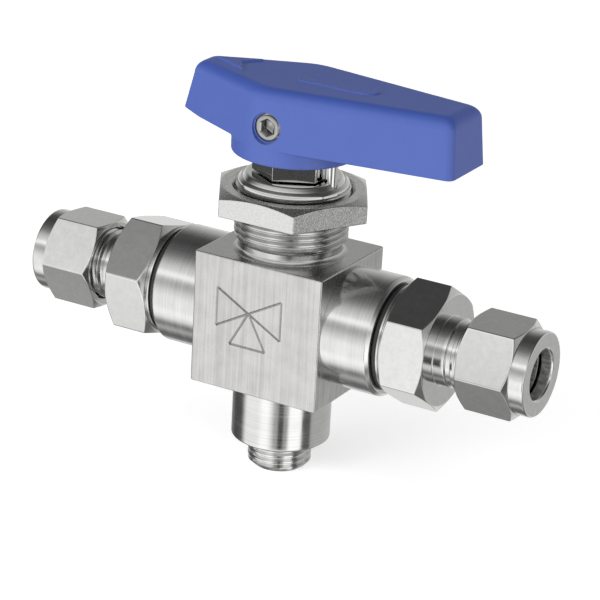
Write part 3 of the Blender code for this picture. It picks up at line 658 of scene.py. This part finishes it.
ptfe = plastic("white_ptfe", (0.86, 0.86, 0.83), roughness=0.42, speck=1800.0,
               depth=0.15, mottle=0.03)
peek = plastic("tan_peek", (0.52, 0.42, 0.29), roughness=0.4, speck=1500.0, depth=0.15)
hollow_r, seat_front, seat_edge, seat_back, seat_r = ball_r + 0.3, 5.3, 0.8, 9.0, 8.9
hollow = np.linspace(math.sqrt(hollow_r ** 2 - seat_front ** 2), flow_bore, 9)
for hand, side in (("right", 1), ("left", -1)):
    seat_rows = stack([(seat_r, seat_back), (seat_r, seat_front + seat_edge),
                       (seat_r - seat_edge, seat_front),
                       *[(r, math.sqrt(hollow_r ** 2 - r ** 2)) for r in hollow],
                       (flow_bore, seat_back)], round_96)
    seat = wrap(hand + "_ball_seat", spin(soften(seat_rows, 0.1), round_96, side))
    settle(seat, "body", [hand + "_seat"], ptfe)

ring_in, ring_out = stem_bore, chamber_r - 0.3
ring_mid = (ring_in + ring_out) / 2.0
cup = [(ring_out, 1.1), (ring_out, 0.0), (ring_mid, 0.6), (ring_in, 0.0), (ring_in, 1.1),
       (ring_mid, 1.7)]
packing = [
    ("thrust_ring", "stem_thrust_washer", peek, "peek",
     [(ring_in, 0.0), (flange_r, 0.0), (flange_r, 0.8), (ring_in, 0.8)]),
    ("bottom_gland_ring", "lower_gland", bright, "machined_steel",
     [(ring_out, 1.0), (ring_out, 0.0), (ring_in, 0.0), (ring_in, 1.0), (ring_mid, 1.6)]),
    ("chevron_low", "packing_ring_lower", ptfe, "ptfe", cup),
    ("chevron_middle", "packing_ring_middle", ptfe, "ptfe", cup),
    ("chevron_high", "packing_ring_upper", ptfe, "ptfe", cup),
    ("top_gland_ring", "upper_gland", bright, "machined_steel",
     [(ring_out, 1.8), (ring_out, 0.0), (ring_mid, 0.6), (ring_in, 0.0), (ring_in, 1.8)]),
    ("coned_washer_low", "spring_washer_lower", bright, "polished_steel",
     [(ring_out, 0.5), (ring_out, 0.0), (ring_in, 0.5), (ring_in, 1.0)]),
    ("coned_washer_high", "spring_washer_upper", bright, "polished_steel",
     [(ring_out, 1.0), (ring_out, 0.5), (ring_in, 0.0), (ring_in, 0.5)]),
]
for name, node, finish, finish_slot, section in packing:
    foot = box_mm(node)[0][2]
    rows = soften(stack([(r, foot + h) for r, h in section], round_96), 0.08)
    piece = wrap(name, spin(rows, round_96))
    settle(piece, "body", [node], finish)

# ------------------------------------------------------------------ handle
# One moulding of blue glass filled nylon: a hub on the stem, a long arm, and a short
# pointer wing with a raised arrow.  Its sides taper for the mould and its top edge is
# rounded; its underside is cored out, to keep the wall even.

hub_r, hub_foot, arm_foot, handle_top = 12.5, 33.0, 36.2, 47.8
draft, top_round, tip_corner, wing_rake = 0.08, 2.6, 1.6, 0.2
arm_tip, arm_half, wing_tip, wing_half = 37.2, 7.05, 24.4, 2.9


def handle_plan(inset, height):
    """Plan outline of the handle, moved in by `inset`, as an array of (x, y).

    Each arm's sides touch the hub's circle and run straight to an arc at each tip
    corner; a straight face joins the arcs.  The wing's tip leans in with height.
    """
    radius = hub_r - inset
    halves = []
    wing_lean = wing_rake * (height - arm_foot)
    for tip, tip_half, lean, sign in ((arm_tip, arm_half, 0.0, 1),
                                      (wing_tip, wing_half, wing_lean, -1)):
        taper = math.asin(hub_r / math.hypot(tip, tip_half)) - math.atan2(tip_half, tip)
        corner_x = tip - inset - lean - tip_corner
        corner_y = (radius - tip_corner - corner_x * math.sin(taper)) / math.cos(taper)
        a = np.linspace(0.0, math.pi / 2 - taper, 11)
        curve = np.stack([corner_x + tip_corner * np.cos(a),
                          corner_y + tip_corner * np.sin(a)], axis=1)
        face = np.stack([np.full(5, curve[0, 0]), np.linspace(0.0, corner_y, 6)[:-1]], axis=1)
        b = np.linspace(math.pi / 2 - taper, math.pi / 2, 9)
        round_hub = radius * np.stack([np.cos(b), np.sin(b)], axis=1)
        t = np.linspace(0.0, 1.0, 30)[1:-1, None]
        straight = curve[-1] * (1 - t) + round_hub[0] * t
        half = np.concatenate([face, curve, straight, round_hub])
        halves.append(half * [sign, 1.0])
    upper = np.concatenate([halves[0], halves[1][-2::-1]])
    return np.concatenate([upper, upper[-2:0:-1] * [1.0, -1.0]])


edge_start = handle_top - top_round
foot_edge = 0.12
levels = [(arm_foot, foot_edge, arm_foot), (arm_foot + foot_edge, 0.0, arm_foot)]
levels += [(z, draft * (z - arm_foot), z) for z in np.linspace(arm_foot + 0.4, edge_start, 12)]
drawn_in = draft * (edge_start - arm_foot)
levels += [(edge_start + top_round * math.sin(a), drawn_in + top_round * (1 - math.cos(a)),
            edge_start) for a in np.radians(np.linspace(0.0, 90.0, 13)[1:])]
levels += [(handle_top, drawn_in + top_round + 0.35, edge_start)]
plans = [np.column_stack([p, np.full(len(p), z)])
         for p, z in [(handle_plan(inset, h), z) for z, inset, h in levels]]
poles = [np.broadcast_to([0.0, 0.0, z], plans[0].shape) for z in (arm_foot, handle_top)]
handle = wrap("moulded_handle", np.array([poles[0], *plans, poles[1]]), ring=False)


def across_slab(name, outline, half_width):
    """Cutter with an upright outline of (x, z) points, through to both sides."""
    flat = np.array([(x, 0.0, z) for x, z in outline])
    pole = np.repeat(flat.mean(axis=0)[None], len(flat), axis=0)
    side = np.array([0.0, half_width, 0.0])
    return wrap(name, np.array([pole - side, flat - side, flat + side, pole + side]), ring=False)


# The wing's underside rises towards its tip, and the hub is joined on below.

rising = [(-8.0, 35.2), (-26.4, 35.2), (-26.4, 38.2), (-19.0, 37.2), (-9.0, 36.8), (-8.0, 35.8)]
cut(handle, across_slab("wing_tool", rising, 14.0))
hub_top = 44.0
hub_rows = stack([(0.0, hub_top), (hub_r - 0.9, hub_top), (hub_r, arm_foot), (hub_r, hub_foot),
                  (0.0, hub_foot)], round_192)
hub_rows = soften(hub_rows, [0.1, 0.1, 0.02, 0.4, 0.1], ring=False)
cut(handle, wrap("hub_tool", spin(hub_rows, round_192), ring=False), "UNION")

# The pointer is a swallow tailed arrow, and where the maker's sign would be there is
# a plain raised pad with round ends, a little lower than the arrow.

arrow = [(-18.6, 0.0), (-10.4, -4.0), (-12.9, 0.0), (-10.4, 4.0)]
rooted, arrow_high, pad_high = handle_top - 1.5, 0.6, 0.35
cut(handle, slab("arrow", arrow, (rooted, handle_top + arrow_high), 0.18), "UNION")
pad_r, pad_x, pad_y = 2.6, (2.8, 15.2), -0.4
ends = np.radians(np.linspace(-90.0, 90.0, 17))
pad = [(pad_x[1] + pad_r * math.cos(a), pad_y + pad_r * math.sin(a)) for a in ends]
pad += [(pad_x[0] - pad_r * math.cos(a), pad_y - pad_r * math.sin(a)) for a in ends]
cut(handle, slab("pad", pad, (rooted, handle_top + pad_high), 0.15), "UNION")


def upright_rod(name, r, low, high):
    """Plain upright cutter round the stem's axis."""
    rows = stack([(0.0, low), (r, low), (r, high), (0.0, high)], round_96)
    return wrap(name, spin(rows, round_96), ring=False)


def to_front(points, height):
    """Turns points made round the stem axis to point at the front, at a height."""
    return np.stack([points[..., 0], -points[..., 2], points[..., 1] + height], axis=-1)


stem_slack, below_hub, past_hub = 0.3, hub_foot - 1.0, 14.5
cut(handle, upright_rod("stem_hole", stem_r + stem_slack, below_hub, stem_top + 0.4))
screw_z, screw_r, screw_head, hole_end = 40.3, 2.5, 11.5, 1.5
screw_wide, screw_tight, step_at = screw_r + 0.6, screw_r + 0.3, screw_head - 0.2
screw_hole = stack([(0.0, past_hub), (screw_wide, past_hub), (screw_wide, step_at),
                    (screw_tight, step_at), (screw_tight, hole_end), (0.0, hole_end)],
                   round_96)
cut(handle, wrap("screw_hole", to_front(spin(screw_hole, round_96), screw_z), ring=False))

# The dowel runs in a half ring slot under the hub: its ends are the handle's stops.

pin_at = math.hypot(pin_x, pin_y)
pin_turn = math.atan2(pin_y, pin_x)
slot_slack = pin_r + 0.3
over_run = slot_slack / pin_at + math.radians(0.3)
run = np.linspace(pin_turn + over_run, pin_turn - math.pi - over_run, 61)
slot_in, slot_out = pin_at - slot_slack, pin_at + slot_slack
slot_low, slot_high = below_hub, pin_high[2] + 0.4
section = np.array([(slot_in, slot_low), (slot_out, slot_low), (slot_out, slot_high),
                    (slot_in, slot_high)])
sweep = np.stack([section[None, :, 0] * np.cos(run)[:, None],
                  section[None, :, 0] * np.sin(run)[:, None],
                  np.broadcast_to(section[None, :, 1], (len(run), 4))], axis=-1)
cap_low = np.broadcast_to(sweep[:1].mean(axis=1, keepdims=True), sweep[:1].shape)
cap_high = np.broadcast_to(sweep[-1:].mean(axis=1, keepdims=True), sweep[:1].shape)
cut(handle, wrap("slot_tool", np.concatenate([cap_low, sweep, cap_high]), ring=False))

# Two pockets under the arm leave a 3 mm roof and a rib between them.

rib_half, pocket_near, pocket_far = 0.9, 12.5, 35.0
for side in (1, -1):
    pocket = [(pocket_near, rib_half * side), (pocket_far, rib_half * side),
              (pocket_far, 4.6 * side), (pocket_near, 7.7 * side)]
    cut(handle, slab("pocket_tool", pocket, (arm_foot - 1.0, handle_top - 3.0), 0.3))
nylon = plastic("blue_nylon", (0.042, 0.09, 0.385), roughness=0.48, speck=3600.0, depth=0.5)
nylon.node_tree.nodes["Principled BSDF"].inputs["Specular IOR Level"].default_value = 0.9
handle.visible_glossy = False  # the steel below doesn't mirror the blue
settle(handle, "turning_handle", ["handle"], nylon)

# The set screw is a steel grub screw with a hexagon socket, sunk in the hub's front.

screw_tip, key_across, key_corner, key_deep, key_edge = 2.95, 2.8, 0.05, 2.2, 0.3
screw_rows = stack([(0.0, screw_head), (screw_r, screw_head), (screw_r, screw_tip + 0.35),
                    (screw_r - 0.5, screw_tip), (0.0, screw_tip)], round_96)
screw_rows = soften(screw_rows, [0.1, 0.35, 0.1, 0.1, 0.1], ring=False)
grub = wrap("handle_grub_screw", to_front(spin(screw_rows, round_96), screw_z), ring=False)
key_angles = hex_angles(key_across, 0.0, key_corner)
key_r = hex_side(key_angles, key_across, 0.0, key_corner)
socket = stack([(0.0, screw_head - key_deep - 0.7), (key_r, screw_head - key_deep),
                (key_r, screw_head - 0.25), (key_r + key_edge, screw_head + 0.05),
                (key_r + key_edge, screw_head + 0.6), (0.0, screw_head + 0.6)], key_angles)
cut(grub, wrap("socket_tool", to_front(spin(socket, key_angles), screw_z), ring=False))
oiled = steel("oiled_screw_steel", (0.38, 0.38, 0.37), roughness=0.2,
              grain=(1500.0, 1500.0, 1500.0), depth=0.2)
settle(grub, "turning_handle", ["handle_set_screw"], oiled)

# ------------------------------------------------------------------ studio
# A pale floor, a soft white tent round the valve with a few dark gaps and bright
# boxes in it for the steel to reflect, and two large soft lamps.


def area_lamp(name, place, size, power):
    """Square soft lamp that looks at the valve."""
    data = bpy.data.lights.new(name, "AREA")
    data.shape = "SQUARE"
    data.size = size
    data.energy = power
    lamp = bpy.data.objects.new(name, data)
    lamp.location = place
    lamp.rotation_euler = (Vector((0.0, 0.0, 0.0)) - Vector(place)).to_track_quat(
        "-Z", "Y").to_euler()
    lamp.visible_glossy = False
    bpy.context.scene.collection.objects.link(lamp)


area_lamp("front_lamp", (-0.35, -0.9, 0.35), 0.6, 4.0)
area_lamp("top_lamp", (0.2, -0.2, 1.1), 0.8, 3.0)

floor_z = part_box("valve_body")[0][2]
floor_r = np.array([0.0, 0.6, 1.2, 2.4, 4.0, 6.0]) * 1000.0
floor_grid = np.stack([floor_r[:, None] * np.cos(round_96), floor_r[:, None] * np.sin(round_96),
                       np.full((len(floor_r), len(round_96)), floor_z * 1000.0)], axis=-1)
floor = wrap("studio_floor", floor_grid, ring=False)
if floor.data.polygons[0].normal.z < 0.0:
    floor.data.flip_normals()

# The floor glows a little, to stay pale, and is clear from below, to show the port.

paper = plastic("pale_paper", (0.93, 0.93, 0.93), roughness=0.8, speck=300.0, depth=0.05,
                mottle=0.01)
nodes, links = paper.node_tree.nodes, paper.node_tree.links
sheet = nodes["Principled BSDF"]
sheet.inputs["Emission Color"].default_value = (1, 1, 1, 1)
sheet.inputs["Emission Strength"].default_value = 0.55
faces = nodes.new("ShaderNodeNewGeometry")
clear = nodes.new("ShaderNodeBsdfTransparent")
one_way = nodes.new("ShaderNodeMixShader")
links.new(faces.outputs["Backfacing"], one_way.inputs["Fac"])
links.new(sheet.outputs["BSDF"], one_way.inputs[1])
links.new(clear.outputs["BSDF"], one_way.inputs[2])
links.new(one_way.outputs["Shader"], nodes["Material Output"].inputs["Surface"])
floor.data.materials.append(paper)
floor.visible_glossy = False

world = bpy.data.worlds.new("tent")
bpy.context.scene.world = world
world.use_nodes = True
world.cycles.sampling_method = "NONE"  # the tent is smooth enough without
nodes, links = world.node_tree.nodes, world.node_tree.links


def maths(operation, *inputs):
    """Maths node; each input is a number or another node's output."""
    node = nodes.new("ShaderNodeMath")
    node.operation = operation
    for socket_in, value in zip(node.inputs, inputs):
        if isinstance(value, (int, float)):
            socket_in.default_value = value
        else:
            links.new(value, socket_in)
    return node.outputs["Value"]


def tent_ramp(position, stops):
    """Brightness by position from 0 to 1, straight between the stops."""
    ramp = nodes.new("ShaderNodeValToRGB")
    points = ramp.color_ramp.elements
    points[0].position, points[-1].position = stops[0][0], stops[-1][0]
    for at, _ in stops[1:-1]:
        points.new(at)
    for point, (_, value) in zip(points, stops):
        point.color = (value, value, value, 1.0)
    links.new(position, ramp.inputs["Fac"])
    return ramp.outputs["Color"]


place = nodes.new("ShaderNodeTexCoord")
axes = nodes.new("ShaderNodeSeparateXYZ")
links.new(place.outputs["Generated"], axes.inputs["Vector"])
x, y, z = (axes.outputs[name] for name in "XYZ")

# Over the valve from front to back, in degrees up from the front: brightness in the steel.

over = [(-180, 0.55), (-150, 0.68), (-134, 0.55), (-118, 0.13), (-102, 0.11), (-92, 0.26),
        (-86, 0.38), (-79, 0.26), (-72, 0.15), (-66, 0.32), (-57, 0.72), (-46, 0.9), (-38, 0.96),
        (-24, 0.8), (-8, 0.72), (0, 0.62), (8, 0.46), (15, 0.37), (22, 0.46), (30, 0.92),
        (34, 0.88), (40, 0.63), (48, 0.53), (57, 0.38), (64, 0.25), (72, 0.15), (84, 0.085),
        (104, 0.046), (124, 0.06), (138, 0.15), (156, 0.34), (180, 0.5)]
climb = maths("MULTIPLY_ADD", maths("ARCTAN2", z, maths("MULTIPLY", y, -1.0)), 0.5 / math.pi, 0.5)
arch = tent_ramp(climb, [((a + 180.0) / 360.0, v) for a, v in over])

# Round the valve, a little below level, in degrees round from the right end.

about = [(-180, 0.06), (-165, 0.08), (-157, 0.4), (-150, 0.78), (-118, 0.78), (-104, 1.0),
         (-92, 1.0), (-84, 0.75), (-76, 0.34), (-68, 0.32), (-66, 0.05), (-56, 0.05),
         (-54, 0.3), (-46, 0.32), (-41, 1.0), (-13, 1.0), (-9, 0.09), (10, 0.08), (15, 0.36),
         (90, 0.38), (122, 0.36), (140, 0.2), (165, 0.06), (180, 0.06)]
round_about = maths("MULTIPLY_ADD", maths("ARCTAN2", y, x), 0.5 / math.pi, 0.5)
belt = tent_ramp(round_about, [((a + 180.0) / 360.0, v) for a, v in about])


def blended(fac, a, b):
    """Mix of two colours by a factor."""
    node = nodes.new("ShaderNodeMix")
    node.data_type = "RGBA"
    for name, value in (("Factor", fac), ("A", a), ("B", b)):
        if isinstance(value, tuple):
            node.inputs[name].default_value = value
        else:
            links.new(value, node.inputs[name])
    return node.outputs["Result"]


# The belt lies 21 degrees below level and fades out some ten degrees either side.

belt_z, belt_fade, belt_full = -0.364, 0.28, 0.12
from_belt = maths("ABSOLUTE", maths("ADD", z, -belt_z))
near_belt = nodes.new("ShaderNodeMapRange")
near_belt.inputs["From Min"].default_value = belt_fade
near_belt.inputs["From Max"].default_value = belt_full
links.new(from_belt, near_belt.inputs["Value"])
tent = blended(near_belt.outputs["Result"], arch, belt)
ray = nodes.new("ShaderNodeLightPath")
seen = blended(ray.outputs["Is Camera Ray"], tent, (0.64, 0.64, 0.64, 1.0))
links.new(seen, nodes["Background"].inputs["Color"])
nodes["Background"].inputs["Strength"].default_value = 1.45

# The camera stands to the right of the front, a little above, with a long lens.

heading, rise, roll = math.radians(28.797), math.radians(21.336), math.radians(3.182)
back = Vector((math.sin(heading) * math.cos(rise), -math.cos(heading) * math.cos(rise),
               math.sin(rise)))
level_right = Vector((math.cos(heading), math.sin(heading), 0.0))
level_up = back.cross(level_right)
right = math.cos(roll) * level_right + math.sin(roll) * level_up
upward = math.cos(roll) * level_up - math.sin(roll) * level_right
lens = bpy.data.cameras.new("long_lens")
lens.lens = 157.889
lens.sensor_width = 36.0
lens.clip_start = 0.01
camera = bpy.data.objects.new("camera", lens)
bpy.context.scene.collection.objects.link(camera)
spot = 0.002578 * right + 0.001687 * upward + 0.520396 * back
turned_to = Matrix((right, upward, back)).transposed().to_4x4()
camera.matrix_world = Matrix.Translation(spot) @ turned_to
bpy.context.scene.camera = camera
bpy.context.scene.view_settings.view_transform = "Standard"
